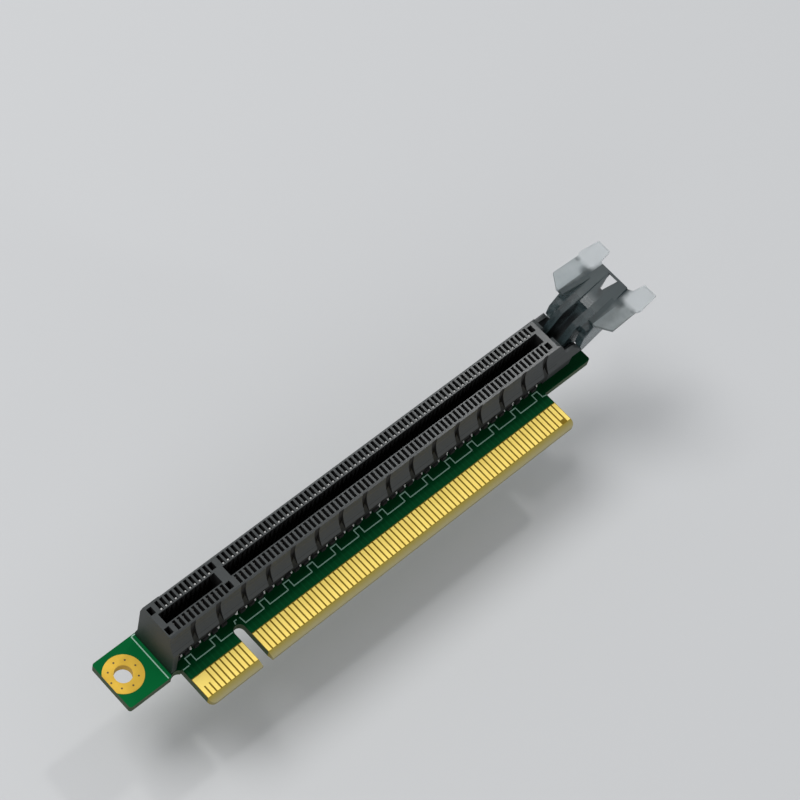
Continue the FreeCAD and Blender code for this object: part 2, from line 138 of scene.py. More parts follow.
class Nodes:
    """Short way to build a shader tree."""

    def __init__(self, name: str) -> None:
        """Starts a material with an empty tree.

        Args:
            name: the material's name.
        """
        self.material = bpy.data.materials.new(name)
        self.material.use_nodes = True
        self.tree = self.material.node_tree
        self.tree.nodes.clear()
        self.output = self.tree.nodes.new("ShaderNodeOutputMaterial")
        self.shader = self.add("ShaderNodeBsdfPrincipled")
        self.link(self.shader.outputs["BSDF"], self.output.inputs["Surface"])
        self.place = self.add("ShaderNodeTexCoord").outputs["Object"]

    def add(self, kind: str, **values: object) -> bpy.types.Node:
        """Adds a node and sets its attributes and named inputs.

        Args:
            kind: Blender's node type.
            values: attributes of the node; names with capitals are inputs.

        Returns:
            The new node.
        """
        node = self.tree.nodes.new(kind)
        for key, value in values.items():
            if hasattr(node, key):
                setattr(node, key, value)
            else:
                node.inputs[key.replace("_", " ")].default_value = value
        return node

    def link(self, source: Socket, target: Socket) -> None:
        """Joins two sockets."""
        self.tree.links.new(source, target)

    def math(
        self, operation: str, first: object, second: object = 0.0, clamp: bool = False
    ) -> Socket:
        """One math step on sockets or numbers.

        Args:
            operation: Blender's name of the operation.
            first: socket or number.
            second: socket or number.
            clamp: whether the result is kept between 0 and 1.

        Returns:
            The result's socket.
        """
        node = self.add("ShaderNodeMath", operation=operation, use_clamp=clamp)
        for index, value in enumerate((first, second)):
            if isinstance(value, Socket):
                self.link(value, node.inputs[index])
            else:
                node.inputs[index].default_value = value
        return node.outputs[0]

    def product(self, first: object, *others: object) -> Socket:
        """Product of sockets or numbers.

        Args:
            first: socket or number.
            others: what it is multiplied with, in order.

        Returns:
            The product's socket.
        """
        for other in others:
            first = self.math("MULTIPLY", first, other)
        return first

    def above(self, value: object, limit: float) -> Socket:
        """1 where a value is above a limit, else 0."""
        return self.math("GREATER_THAN", value, limit)

    def below(self, value: object, limit: float) -> Socket:
        """1 where a value is below a limit, else 0."""
        return self.math("LESS_THAN", value, limit)

    def size_of(self, value: object) -> Socket:
        """A value without its sign."""
        return self.math("ABSOLUTE", value)

    def swing(self, noise: Socket, reach: float) -> Socket:
        """A noise turned into a number that swings about zero."""
        return self.product(self.math("SUBTRACT", noise, 0.5), reach)

    def mix(self, share: Socket, low: object, high: object) -> Socket:
        """Mixes two colours, each a socket or three numbers.

        Args:
            share: 0 for the first colour and 1 for the second.
            low: first colour.
            high: second colour.

        Returns:
            The mixed colour's socket.
        """
        node = self.add("ShaderNodeMix", data_type="RGBA")
        self.link(share, node.inputs["Factor"])
        for name, value in (("A", low), ("B", high)):
            socket = next(s for s in node.inputs if s.name == name and s.type == "RGBA")
            if isinstance(value, Socket):
                self.link(value, socket)
            else:
                socket.default_value = (*value, 1.0)
        return next(s for s in node.outputs if s.type == "RGBA")

    def parts_of(self, vector: Socket) -> tuple[Socket, ...]:
        """The three numbers of a vector.

        Args:
            vector: socket of the vector.

        Returns:
            Its x, y and z sockets.
        """
        split = self.add("ShaderNodeSeparateXYZ")
        self.link(vector, split.inputs[0])
        return tuple(split.outputs)

    def card_place(self, datum: Datum) -> tuple[Socket, ...]:
        """Place on the card in millimetres.

        Args:
            datum: the card's datum.

        Returns:
            The x, y and z sockets of the place.
        """
        axes = zip(self.parts_of(self.place), datum.origin)
        return tuple(self.math("DIVIDE", self.math("SUBTRACT", axis, start), MM) for axis, start in axes)

    def facing(self) -> tuple[Socket, ...]:
        """The x, y and z sockets of the way that the surface faces."""
        return self.parts_of(self.add("ShaderNodeNewGeometry").outputs["Normal"])

    def noise(self, size: float, detail: float = 3.0, roughness: float = 0.5) -> Socket:
        """Noise over the surface.

        Args:
            size: width of a grain in millimetres.
            detail: levels of finer grain.
            roughness: strength of the finer grain.

        Returns:
            The noise's socket, about 0 to 1.
        """
        node = self.add("ShaderNodeTexNoise", Scale=1.0 / (size * MM), Detail=detail, Roughness=roughness)
        self.link(self.place, node.inputs["Vector"])
        return node.outputs[0]

    def band(self, value: Socket, low: float, high: float) -> Socket:
        """A share that rises as a value does.

        Args:
            value: socket of the value.
            low: value where the share is 0.
            high: value where the share is 1.

        Returns:
            The share's socket.
        """
        node = self.add("ShaderNodeMapRange", clamp=True, From_Min=low, From_Max=high)
        self.link(value, node.inputs["Value"])
        return node.outputs[0]

    def spread(self, share: Socket, low: float, high: float) -> Socket:
        """A number that rises as a share does.

        Args:
            share: socket of a share from 0 to 1.
            low: number where the share is 0.
            high: number where the share is 1.

        Returns:
            The number's socket.
        """
        node = self.add("ShaderNodeMapRange", To_Min=low, To_Max=high)
        self.link(share, node.inputs["Value"])
        return node.outputs[0]

    def bump(self, height: Socket, depth: float, strength: float = 1.0) -> None:
        """Gives the shader a bump.

        Args:
            height: socket of the height, 0 to 1.
            depth: depth of the bump in millimetres.
            strength: share of the bump that shows.
        """
        node = self.add("ShaderNodeBump", Strength=strength, Distance=depth * MM)
        self.link(height, node.inputs["Height"])
        self.link(node.outputs["Normal"], self.shader.inputs["Normal"])

    def paint(self, colour: Socket) -> None:
        """Gives the shader its colour."""
        self.link(colour, self.shader.inputs["Base Color"])

    def roughen(self, roughness: Socket) -> None:
        """Gives the shader its roughness."""
        self.link(roughness, self.shader.inputs["Roughness"])

    def set(self, **values: object) -> None:
        """Sets named inputs of the shader itself."""
        for key, value in values.items():
            self.shader.inputs[key.replace("_", " ")].default_value = value


@dataclass(frozen=True)
class SolderMask:
    """Green lacquer on glass-fibre laminate, with the laminate bare on the edges and the tongue."""

    green: Colour = (0.0006, 0.112, 0.028)
    green_deep: Colour = (0.0004, 0.088, 0.022)
    # colour of the painted shadow of the connector on the board's top face
    green_painted_shadow: Colour = (0.0, 0.008, 0.003)
    trace: Colour = (0.0012, 0.125, 0.034)
    laminate: Colour = (0.27, 0.21, 0.035)
    laminate_pale: Colour = (0.28, 0.255, 0.145)
    laminate_dark: Colour = (0.2, 0.13, 0.015)
    edge_dark: Colour = (0.028, 0.075, 0.038)
    edge_brown: Colour = (0.09, 0.092, 0.058)
    face_from: float = 0.98
    bevel_from: float = 0.5
    mask_end: float = -7.6
    mask_blur: float = 0.03
    finger_end: float = -11.8
    tip: float = -13.05
    traces_near: float = -5.0
    traces_after: float = -0.3
    trace_width: float = 0.26
    # strength of the painted shadow of the connector, rising towards the housing
    shade: float = 0.5
    shade_gain: float = 0.3
    shade_after: float = -2.4
    shade_rise: tuple[float, float] = (-6.4, -4.6)
    weave: float = 0.42
    weave_height: float = 0.12
    trace_height: float = 0.9
    roughness: float = 0.5
    bare_roughness: float = 0.15

    def build(self, datum: Datum) -> Material:
        """Builds the board's material.

        Args:
            datum: the card's datum.

        Returns:
            The material: lacquer over traces on the faces, darkened on the top face right of the lug by a
                painted shadow of the connector, bare laminate on the edges and past the mask.
        """
        n = Nodes("solder_mask")
        x, y, _ = n.card_place(datum)
        up = n.facing()[2]
        steep = n.size_of(up)
        lacquered = n.band(y, self.mask_end - self.mask_blur, self.mask_end + self.mask_blur)
        green = n.mix(n.noise(6.0, 4.0), self.green_deep, self.green)
        lane = n.size_of(n.math("SUBTRACT", n.math("FRACT", n.math("ADD", x, 0.5)), 0.5))
        lane_area = n.product(n.below(y, self.traces_near), n.above(x, self.traces_after))
        trace = n.product(n.below(lane, self.trace_width / 2), lane_area)
        green = n.mix(trace, green, self.trace)
        # painted shadow of the connector: the top face right of the lug turns towards the shadow colour,
        # more towards and beside the housing
        painted_shadow_area = n.product(n.above(x, self.shade_after), n.above(up, 0.0))
        depth = n.math("ADD", n.product(n.band(y, *self.shade_rise), self.shade_gain), self.shade)
        green = n.mix(n.product(painted_shadow_area, depth), green, self.green_painted_shadow)
        fibre = n.noise(0.6, 2.0)
        among_fingers = n.band(y, self.finger_end - 0.15, self.finger_end + 0.1)
        between = n.mix(among_fingers, self.laminate, self.laminate_dark)
        face = n.mix(lacquered, n.mix(fibre, between, self.laminate_dark), green)
        side = n.mix(fibre, self.edge_dark, self.edge_brown)
        below = n.below(y, self.finger_end)
        fibrous = n.math("ADD", n.product(fibre, 0.5), 0.75)
        paler = n.math("MULTIPLY", n.band(y, self.finger_end, self.tip), fibrous, True)
        bare = n.mix(paler, self.laminate, self.laminate_pale)
        side = n.mix(n.math("MAXIMUM", n.above(steep, self.bevel_from), below), side, bare)
        face = n.mix(below, face, bare)
        n.paint(n.mix(n.above(steep, self.face_from), side, face))
        threads = [n.math("SINE", n.product(axis, 2 * math.pi / self.weave)) for axis in (x, y)]
        cloth = n.product(*threads, self.weave_height)
        n.bump(n.math("ADD", cloth, n.product(trace, self.trace_height)), 0.025, 0.5)
        uncoated = n.math("SUBTRACT", 1.0, lacquered)
        n.roughen(n.math("ADD", n.product(uncoated, self.bare_roughness), self.roughness))
        n.set(IOR=1.5, Specular_IOR_Level=0.03)
        return n.material


@dataclass(frozen=True)
class GoldPlate:
    """Thin gold over nickel on copper."""

    name: str = "gold_plate"
    bright: Colour = (0.93, 0.745, 0.195)
    deep: Colour = (0.8, 0.585, 0.12)
    roughness: float = 0.5
    roughness_play: tuple[float, float] = (-0.08, 0.12)
    scratch_scale: Point3 = (9000.0, 500.0, 9000.0)

    def build(self) -> Material:
        """Builds the material of the lands and fingers.

        Returns:
            The material, with fine scratches along the fingers.
        """
        n = Nodes(self.name)
        n.paint(n.mix(n.noise(2.5, 3.0), self.deep, self.bright))
        scratches = n.add("ShaderNodeTexNoise", Scale=1.0, Detail=2.0)
        stretch = n.add("ShaderNodeMapping", Scale=self.scratch_scale)
        n.link(n.place, stretch.inputs["Vector"])
        n.link(stretch.outputs[0], scratches.inputs["Vector"])
        low, high = (self.roughness + play for play in self.roughness_play)
        n.roughen(n.spread(scratches.outputs[0], low, high))
        n.bump(scratches.outputs[0], 0.004, 0.3)
        n.set(Metallic=0.65)
        return n.material


@dataclass(frozen=True)
class MouldedPlastic:
    """Glass-filled moulding of the slot connector."""

    name: str = "moulded_plastic"
    colour: Colour = (0.028, 0.032, 0.032)
    fleck: Colour = (0.041, 0.046, 0.046)
    # near-black of the painted shade inside the slot, in the recesses and under the hood
    deep: Colour = (0.005, 0.005, 0.005)
    roughness: float = 0.58
    roughness_play: tuple[float, float] = (-0.03, 0.04)
    hidden_roughness: float = 0.3
    top_roughness: float = 0.27
    top_from: float = 10.9
    hood_shade: float = 0.75
    hood_root: float = 7.1
    hood_inside: float = 4.4
    # dark green painted shade and painted reflection of the board, low on the end plate
    plate_from: float = -1.2
    plate_fade: tuple[float, float] = (6.6, 1.6)
    plate_shade_and_reflection: Colour = (0.005, 0.014, 0.009)
    slot_fade: tuple[float, float] = (11.2, 10.9)
    cavity_half: float = 3.08
    cavity_start: float = -2.25
    cavity_end: float = 85.35
    recess_floor: float = 3.44
    recess_first: float = 1.92
    recess_width: float = 1.06

    def build(self, datum: Datum) -> Material:
        """Builds the connector's material.

        Args:
            datum: the card's datum.

        Returns:
            The material, with painted shade inside the slot, in the recesses of the near wall and under its
            hood, painted shade and board reflection low on the end plate, polished on the deck.
        """
        n = Nodes(self.name)
        x, y, z = n.card_place(datum)
        face_x, _, face_z = n.facing()
        after, before = n.above(x, self.cavity_start), n.below(x, self.cavity_end)
        # painted shade: inside the slot, in the near wall's recesses and under its hood the surface turns
        # near-black
        between = n.below(n.size_of(y), self.cavity_half)
        in_slot = n.product(between, n.band(z, *self.slot_fade), after, before)
        run = n.math("FRACT", n.math("DIVIDE", n.math("SUBTRACT", x, self.recess_first), PANEL_PITCH))
        at_recess = n.product(n.below(run, self.recess_width / PANEL_PITCH), n.above(x, self.recess_first))
        floor = n.below(n.size_of(n.math("ADD", y, self.recess_floor - 0.02)), 0.06)
        cheek = n.product(n.above(n.size_of(face_x), 0.9), n.below(y, -self.recess_floor))
        in_recess = n.product(at_recess, n.math("MAXIMUM", floor, cheek))
        under_hood = n.product(
            n.above(y, -self.hood_inside),
            n.below(y, -self.cavity_half),
            n.below(z, self.hood_root),
            self.hood_shade,
            after,
        )
        in_wall = n.product(n.math("MAXIMUM", in_recess, under_hood), before)
        painted_shade = n.math("MAXIMUM", in_slot, in_wall)
        face = n.mix(n.noise(0.25, 4.0, 0.7), self.colour, self.fleck)
        # painted shade and reflection of the board on the end plate, strongest low down and fading upwards
        low_plate = n.product(n.below(x, self.plate_from), n.band(z, *self.plate_fade))
        face = n.mix(low_plate, face, self.plate_shade_and_reflection)
        n.paint(n.mix(painted_shade, face, self.deep))
        low, high = (self.roughness + play for play in self.roughness_play)
        rough = n.spread(n.noise(8.0, 2.0), low, high)
        top = n.product(n.band(face_z, 0.6, 0.7), n.above(z, self.top_from))
        dull = n.math("SUBTRACT", rough, n.product(top, self.roughness - self.top_roughness))
        n.roughen(n.math("ADD", dull, n.product(painted_shade, self.hidden_roughness)))
        n.bump(n.noise(0.12, 3.0, 0.6), 0.012, 0.45)
        n.set(IOR=1.5, Specular_IOR_Level=0.42)
        return n.material


@dataclass(frozen=True)
class TinPlate:
    """Bright tin on the contacts and the solder."""

    name: str = "tin_plate"
    colour: Colour = (0.78, 0.77, 0.74)
    roughness: float = 0.28
    metallic: float = 1.0
    dulling: float = 0.82
    # painted shade on the contacts inside the connector
    inside: Colour = (0.1, 0.09, 0.075)
    inside_from: tuple[float, float] = (1.2, 2.2)
    inside_to: tuple[float, float] = (10.55, 10.45)

    def build(self, datum: Datum) -> Material:
        """Builds the material of contacts or solder.

        Args:
            datum: the card's datum.

        Returns:
            The material, tarnished on what stands inside the connector.
        """
        n = Nodes(self.name)
        z = n.card_place(datum)[2]
        dull = tuple(channel * self.dulling for channel in self.colour)
        fresh = n.mix(n.noise(0.4, 3.0), dull, self.colour)
        # painted shade between the housing's floor and its top
        in_painted_shade = n.product(n.band(z, *self.inside_from), n.band(z, *self.inside_to))
        n.paint(n.mix(in_painted_shade, fresh, self.inside))
        n.bump(n.noise(0.2, 2.0), 0.006, 0.4)
        n.set(Metallic=self.metallic, Roughness=self.roughness)
        return n.material


@dataclass(frozen=True)
class SmokyPlastic:
    """Clear grey plastic of the card latch, frosted on its thumb pads."""

    smoke: Colour = (0.044, 0.066, 0.071)
    pale_smoke: Colour = (0.085, 0.11, 0.113)
    # near-black painted shade in the channel between the arms
    deep: Colour = (0.008, 0.011, 0.012)
    clear: Colour = (0.42, 0.47, 0.48)
    # painted shade of the near wing
    clear_near_shade: Colour = (0.155, 0.192, 0.192)
    frost: Colour = (0.74, 0.77, 0.78)
    cheek_from: float = 4.32
    arm_half: float = 4.05
    arm_taper: float = 0.11
    neck_x: float = 93.3
    pad_from: float = 100.2
    wing_height: float = 12.2
    pale_arm_y: tuple[float, float] = (0.2, 1.6)
    pale_arm_x: tuple[float, float] = (92.0, 97.0)
    channel_half: float = 1.1
    channel_wall: float = 1.3
    channel_end: tuple[float, float] = (95.4, 94.4)
    streak_play: float = 0.8
    roughness: float = 0.24
    frost_roughness: float = 0.28
    spots: tuple[Point3, ...] = ((99.4, 4.1, 1.5), (100.1, 6.9, 0.8))

    def build(self, datum: Datum) -> Material:
        """Builds the latch's material.

        Args:
            datum: the card's datum.

        Returns:
            The material, smoky at the arms, clearer at the wings and frosted at the pads.
        """
        n = Nodes("smoky_plastic")
        x, y, z = n.card_place(datum)
        side = n.size_of(y)
        streak = n.noise(2.2, 3.0, 0.6)
        cloud = n.noise(1.6, 2.0)
        taper = n.product(n.math("SUBTRACT", x, self.neck_x), self.arm_taper)
        reach = n.math("SUBTRACT", side, n.math("SUBTRACT", self.arm_half, taper))
        outer = n.band(n.math("ADD", reach, n.swing(streak, self.streak_play)), 0.0, 1.2)
        high = n.band(z, self.wing_height - 0.3, self.wing_height + 0.2)
        wing = n.product(outer, high)
        # paler streaks on the far arm: partly moulding marks, partly a painted highlight
        far_arm = n.product(n.band(y, *self.pale_arm_y), n.band(x, *self.pale_arm_x))
        body = n.mix(n.product(far_arm, streak), self.smoke, self.pale_smoke)
        # painted shade on the channel's walls and floor between the arms
        wall = n.product(n.above(n.size_of(n.facing()[1]), 0.8), n.below(side, self.channel_wall))
        channel = n.math("MAXIMUM", wall, n.below(side, self.channel_half))
        body = n.mix(n.product(channel, n.band(x, *self.channel_end)), body, self.deep)
        body = n.mix(n.above(side, self.cheek_from), body, self.clear)
        # painted shade: the near wing darker than the far one
        sheet = n.mix(n.band(y, -1.0, 1.0), self.clear_near_shade, self.clear)
        tone = n.mix(wing, body, n.mix(n.product(cloud, 0.6), sheet, self.frost))
        for spot_x, spot_y, size in self.spots:
            offsets = (n.math("SUBTRACT", x, spot_x), n.math("SUBTRACT", side, spot_y))
            away = n.math("SQRT", n.math("ADD", *(n.math("POWER", offset, 2.0) for offset in offsets)))
            near = n.band(n.math("ADD", away, n.swing(streak, self.streak_play)), size, size * 0.4)
            tone = n.mix(n.product(near, 0.75), tone, self.smoke)
        pad = n.product(wing, n.band(x, self.pad_from - 0.6, self.pad_from + 0.5))
        n.paint(n.mix(n.product(pad, 0.9), tone, self.frost))
        n.roughen(n.math("ADD", self.roughness, n.product(high, self.frost_roughness)))
        n.set(Transmission_Weight=0.8, IOR=1.45)
        n.bump(cloud, 0.03, 0.25)
        return n.material


@dataclass(frozen=True)
class MarkingInk:
    """Pale ink of the printed outline."""

    colour: Colour = (0.3, 0.5, 0.39)
    thinning: float = 0.75

    def build(self) -> Material:
        """Builds the ink.

        Returns:
            The material, thinner in places.
        """
        n = Nodes("marking_ink")
        thin = tuple(channel * self.thinning for channel in self.colour)
        n.paint(n.mix(n.noise(0.5, 3.0), thin, self.colour))
        n.set(Roughness=0.5)
        return n.material


@dataclass(frozen=True)
class DarkBore:
    """Dark disc standing for a small drilled hole, its darkness painted shade of the hole's inside."""

    colour: Colour = (0.05, 0.03, 0.008)
    rim: Colour = (0.09, 0.055, 0.015)

    def build(self) -> Material:
        """Builds the material of the small holes, their darkness painted shade.

        Returns:
            The material.
        """
        n = Nodes("dark_bore")
        n.paint(n.mix(n.noise(0.1), self.colour, self.rim))
        n.set(Roughness=0.6)
        return n.material


class GeometryTree:
    """Short way to build a Geometry Nodes tree with named inputs."""

    def __init__(self, name: str, inputs: dict[str, str]) -> None:
        """Starts a tree that takes and gives geometry.

        Args:
            name: the tree's name.
            inputs: socket type of each named input.
        """
        self.tree = bpy.data.node_groups.new(name, "GeometryNodeTree")
        self.tree.interface.new_socket("Geometry", in_out="INPUT", socket_type="NodeSocketGeometry")
        self.tree.interface.new_socket("Geometry", in_out="OUTPUT", socket_type="NodeSocketGeometry")
        for label, kind in inputs.items():
            self.tree.interface.new_socket(label, in_out="INPUT", socket_type=kind)
        self.given = self.add("NodeGroupInput").outputs
        self.index = self.add("GeometryNodeInputIndex").outputs[0]

    def add(self, kind: str, links: dict | None = None, **values: object) -> bpy.types.Node:
        """Adds a node, sets its attributes and feeds its inputs.

        Args:
            kind: Blender's node type.
            links: socket or constant of each input, by the input's name or number.
            values: attributes of the node.

        Returns:
            The new node.
        """
        node = self.tree.nodes.new(kind)
        for key, value in values.items():
            setattr(node, key, value)
        for key, source in (links or {}).items():
            if isinstance(source, Socket):
                self.tree.links.new(source, node.inputs[key])
            else:
                node.inputs[key].default_value = source
        return node

    def math(self, operation: str, first: object, second: object) -> Socket:
        """One math step on sockets or numbers."""
        return self.add("ShaderNodeMath", {0: first, 1: second}, operation=operation).outputs[0]

    def scaled(self, vector: Socket, scale: object) -> Socket:
        """A vector times a socket or a number."""
        return self.add("ShaderNodeVectorMath", {0: vector, "Scale": scale}, operation="SCALE").outputs[0]

    def total(self, first: Socket, second: Socket) -> Socket:
        """Sum of two vectors."""
        return self.add("ShaderNodeVectorMath", {0: first, 1: second}, operation="ADD").outputs[0]

    def finish(self, geometry: Socket) -> bpy.types.NodeTree:
        """Ends the tree in Realize Instances and Set Material.

        Args:
            geometry: socket of the placed copies.

        Returns:
            The finished tree.
        """
        real = self.add("GeometryNodeRealizeInstances", {0: geometry})
        finish = self.given["Finish"]
        dress = self.add("GeometryNodeSetMaterial", {"Geometry": real.outputs[0], "Material": finish})
        self.add("NodeGroupOutput", {0: dress.outputs[0]})
        return self.tree


class Patterns:
    """The card's two repeat patterns as Geometry Nodes trees, built once each."""

    def __init__(self) -> None:
        """Builds both trees."""
        self.along = self.row_tree()
        self.round = self.ring_tree()

    @staticmethod
    def row_tree() -> bpy.types.NodeTree:
        """Builds the tree of a row.

        Returns:
            A tree that repeats a piece along a row, every second copy set aside by a stagger.
        """
        tree = GeometryTree("pieces_in_a_row", {
            "Count": "NodeSocketInt",
            "Step": "NodeSocketVector",
            "Stagger": "NodeSocketVector",
            "Size Play": "NodeSocketFloat",
            "Seed": "NodeSocketInt",
            "Pivot": "NodeSocketVector",
            "Finish": "NodeSocketMaterial",
        })
        given = tree.given
        second = tree.add("FunctionNodeIntegerMath", {0: tree.index, 1: 2}, operation="MODULO").outputs[0]
        place = tree.total(tree.scaled(given["Step"], tree.index), tree.scaled(given["Stagger"], second))
        centre = tree.total(place, given["Pivot"])
        points = tree.add("GeometryNodePoints", {"Count": given["Count"], "Position": centre})
        back = tree.scaled(given["Pivot"], -1.0)
        shift = tree.add("GeometryNodeTransform", {"Geometry": given["Geometry"], "Translation": back})
        play = tree.add("FunctionNodeRandomValue", {"Seed": given["Seed"]}, data_type="FLOAT")
        low, high = [s for s in play.inputs if s.type == "VALUE" and s.name in ("Min", "Max")][:2]
        tree.tree.links.new(tree.math("SUBTRACT", 1.0, given["Size Play"]), low)
        tree.tree.links.new(tree.math("ADD", 1.0, given["Size Play"]), high)
        copies = tree.add("GeometryNodeInstanceOnPoints", {
            "Points": points.outputs[0],
            "Instance": shift.outputs[0],
            "Scale": next(s for s in play.outputs if s.type == "VALUE"),
        })
        return tree.finish(copies.outputs[0])

    @staticmethod
    def ring_tree() -> bpy.types.NodeTree:
        """Builds the tree of a ring.

        Returns:
            A tree that repeats a piece round an upright axis through a centre.
        """
        tree = GeometryTree("pieces_round_a_hole", {
            "Count": "NodeSocketInt",
            "Centre": "NodeSocketVector",
            "Turn": "NodeSocketFloat",
            "Finish": "NodeSocketMaterial",
        })
        given = tree.given
        points = tree.add("GeometryNodePoints", {"Count": given["Count"]}).outputs[0]
        copies = tree.add("GeometryNodeInstanceOnPoints", {"Points": points, "Instance": given["Geometry"]})
        spin = tree.add("ShaderNodeCombineXYZ", {"Z": tree.math("MULTIPLY", tree.index, given["Turn"])})
        turned = tree.add("GeometryNodeRotateInstances", {
            "Instances": copies.outputs[0],
            "Rotation": spin.outputs[0],
            "Pivot Point": given["Centre"],
            "Local Space": False,
        })
        return tree.finish(turned.outputs[0])

    def row(
        self,
        piece: Piece,
        count: int,
        finish: Material,
        pivot: Vector,
        step: float = PITCH,
        stagger: float = 0.0,
        play: float = 0.0,
        seed: int = 1,
    ) -> Piece:
        """Repeats a piece along the slot.

        Args:
            piece: object that holds the first copy.
            count: number of copies.
            finish: their material.
            pivot: scene point about which the first copy's size varies.
            step: from one copy to the next, in millimetres.
            stagger: how far every second copy is set aside across the slot, in millimetres.
            play: how much the copies vary in size, as a share.
            seed: seed of that play.

        Returns:
            The same object with the whole row as its mesh.
        """
        return repeated(piece, self.along, {
            "Count": count,
            "Step": Vector((step * MM, 0, 0)),
            "Stagger": Vector((0, stagger * MM, 0)),
            "Size Play": play,
            "Seed": seed,
            "Pivot": pivot,
            "Finish": finish,
        })


def mesh_piece(name: str, vertices: Iterable[Vector], faces: Iterable[Sequence[int]]) -> Piece:
    """Makes a mesh object with its place in its mesh.

    Args:
        name: the piece's name.
        vertices: scene points in metres.
        faces: vertex numbers of each face.

    Returns:
        The new object.
    """
    mesh = bpy.data.meshes.new(name)
    mesh.from_pydata([tuple(v) for v in vertices], [], [tuple(f) for f in faces])
    mesh.update()
    piece = bpy.data.objects.new(name, mesh)
    bpy.context.scene.collection.objects.link(piece)
    return piece


def closed_piece(name: str, vertices: Iterable[Vector], faces: Iterable[Sequence[int]]) -> Piece:
    """Makes a closed mesh object with every face outwards.

    Args:
        name: the piece's name.
        vertices: scene points in metres.
        faces: vertex numbers of each face.

    Returns:
        The new object.
    """
    piece = mesh_piece(name, vertices, faces)
    work = bmesh.new()
    work.from_mesh(piece.data)
    bmesh.ops.remove_doubles(work, verts=work.verts, dist=MERGE)
    bmesh.ops.recalc_face_normals(work, faces=work.faces)
    work.to_mesh(piece.data)
    work.free()
    return piece


def repeated(piece: Piece, tree: bpy.types.NodeTree, inputs: dict[str, object]) -> Piece:
    """Runs a pattern tree on a piece and keeps the result as a plain mesh.

    Args:
        piece: object that holds one copy.
        tree: pattern tree.
        inputs: value of each named input.

    Returns:
        The same object with the whole pattern as its mesh.
    """
    modifier = piece.modifiers.new("pattern", "NODES")
    modifier.node_group = tree
    sockets = {s.name: s.identifier for s in tree.interface.items_tree if s.in_out == "INPUT"}
    for name, value in inputs.items():
        modifier[sockets[name]] = value
    graph = bpy.context.evaluated_depsgraph_get()
    mesh = bpy.data.meshes.new_from_object(piece.evaluated_get(graph), depsgraph=graph)
    piece.modifiers.remove(modifier)
    piece.data = mesh
    return piece


def joined(name: str, pieces: Sequence[Piece]) -> Piece:
    """Joins several meshes into one object.

    Args:
        name: name of the whole.
        pieces: objects whose meshes are joined; they are removed.

    Returns:
        The new object.
    """
    work = bmesh.new()
    materials = []
    for piece in pieces:
        offset = len(work.faces)
        work.from_mesh(piece.data)
        work.faces.ensure_lookup_table()
        own = list(piece.data.materials)
        for face in work.faces[offset:]:
            material = own[face.material_index] if own else None
            if material not in materials:
                materials.append(material)
            face.material_index = materials.index(material)
    mesh = bpy.data.meshes.new(name)
    work.to_mesh(mesh)
    work.free()
    for material in materials:
        mesh.materials.append(material)
    whole = bpy.data.objects.new(name, mesh)
    bpy.context.scene.collection.objects.link(whole)
    for piece in pieces:
        bpy.data.objects.remove(piece)
    return whole


def ribbon(name: str, datum: Datum, path: Sequence[Point2], width: float, height: float) -> Piece:
    """Flat closed strip along a path on the board, with mitred corners.

    Args:
        name: the piece's name.
        datum: the card's datum.
        path: (x, y) points on the card.
        width: width of the strip.
        height: height of its face above the board.

    Returns:
        The strip as a mesh object.
    """
    points = [Vector(p) for p in path]
    sharpest = 0.3
    left = []
    right = []
    for index, point in enumerate(points):
        before = points[max(index - 1, 0)]
        after = points[min(index + 1, len(points) - 1)]
        first = (point - before).normalized() if index else (after - point).normalized()
        last = (after - point).normalized() if index < len(points) - 1 else first
        normal = Vector((-(first.y + last.y), first.x + last.x)).normalized()
        reach = width / 2 / max(normal.dot(Vector((-first.y, first.x))), sharpest)
        left.append(point + normal * reach)
        right.append(point - normal * reach)
    count = len(points)
    vertices = [datum.at(p.x, p.y, z) for z in (0.0, height) for side in (left, right) for p in side]
    faces = []
    for i in range(count - 1):
        faces.append((2 * count + i, 3 * count + i, 3 * count + i + 1, 2 * count + i + 1))
        faces.append((i, i + 1, count + i + 1, count + i))
        faces.append((i, 2 * count + i, 2 * count + i + 1, i + 1))
        faces.append((count + i, count + i + 1, 3 * count + i + 1, 3 * count + i))
    faces.append((0, count, 3 * count, 2 * count))
    faces.append((count - 1, 3 * count - 1, 4 * count - 1, 2 * count - 1))
    return closed_piece(name, vertices, faces)


def lathe(name: str, datum: Datum, centre: Point2, profile: Sequence[Point2], sides: int) -> Piece:
    """Turned shape about an upright axis.

    Args:
        name: the piece's name.
        datum: the card's datum.
        centre: (x, y) of the axis on the card.
        profile: (radius, z) points from bottom to top; a radius of 0 closes the shape.
        sides: number of flats round the shape.

    Returns:
        The turned shape as a mesh object.
    """
    vertices = []
    rings = []
    for radius, z in profile:
        if radius == 0:
            rings.append([len(vertices)])
            vertices.append(datum.at(centre[0], centre[1], z))
            continue
        rings.append(list(range(len(vertices), len(vertices) + sides)))
        for step in range(sides):
            angle = 2 * math.pi * step / sides
            x, y = centre[0] + radius * math.cos(angle), centre[1] + radius * math.sin(angle)
            vertices.append(datum.at(x, y, z))
    faces = []
    for lower, upper in zip(rings, rings[1:]):
        for step in range(sides):
            ahead = (step + 1) % sides
            if len(lower) == 1:
                faces.append((lower[0], upper[ahead], upper[step]))
            elif len(upper) == 1:
                faces.append((lower[step], lower[ahead], upper[0]))
            else:
                faces.append((lower[step], lower[ahead], upper[ahead], upper[step]))
    return closed_piece(name, vertices, faces)


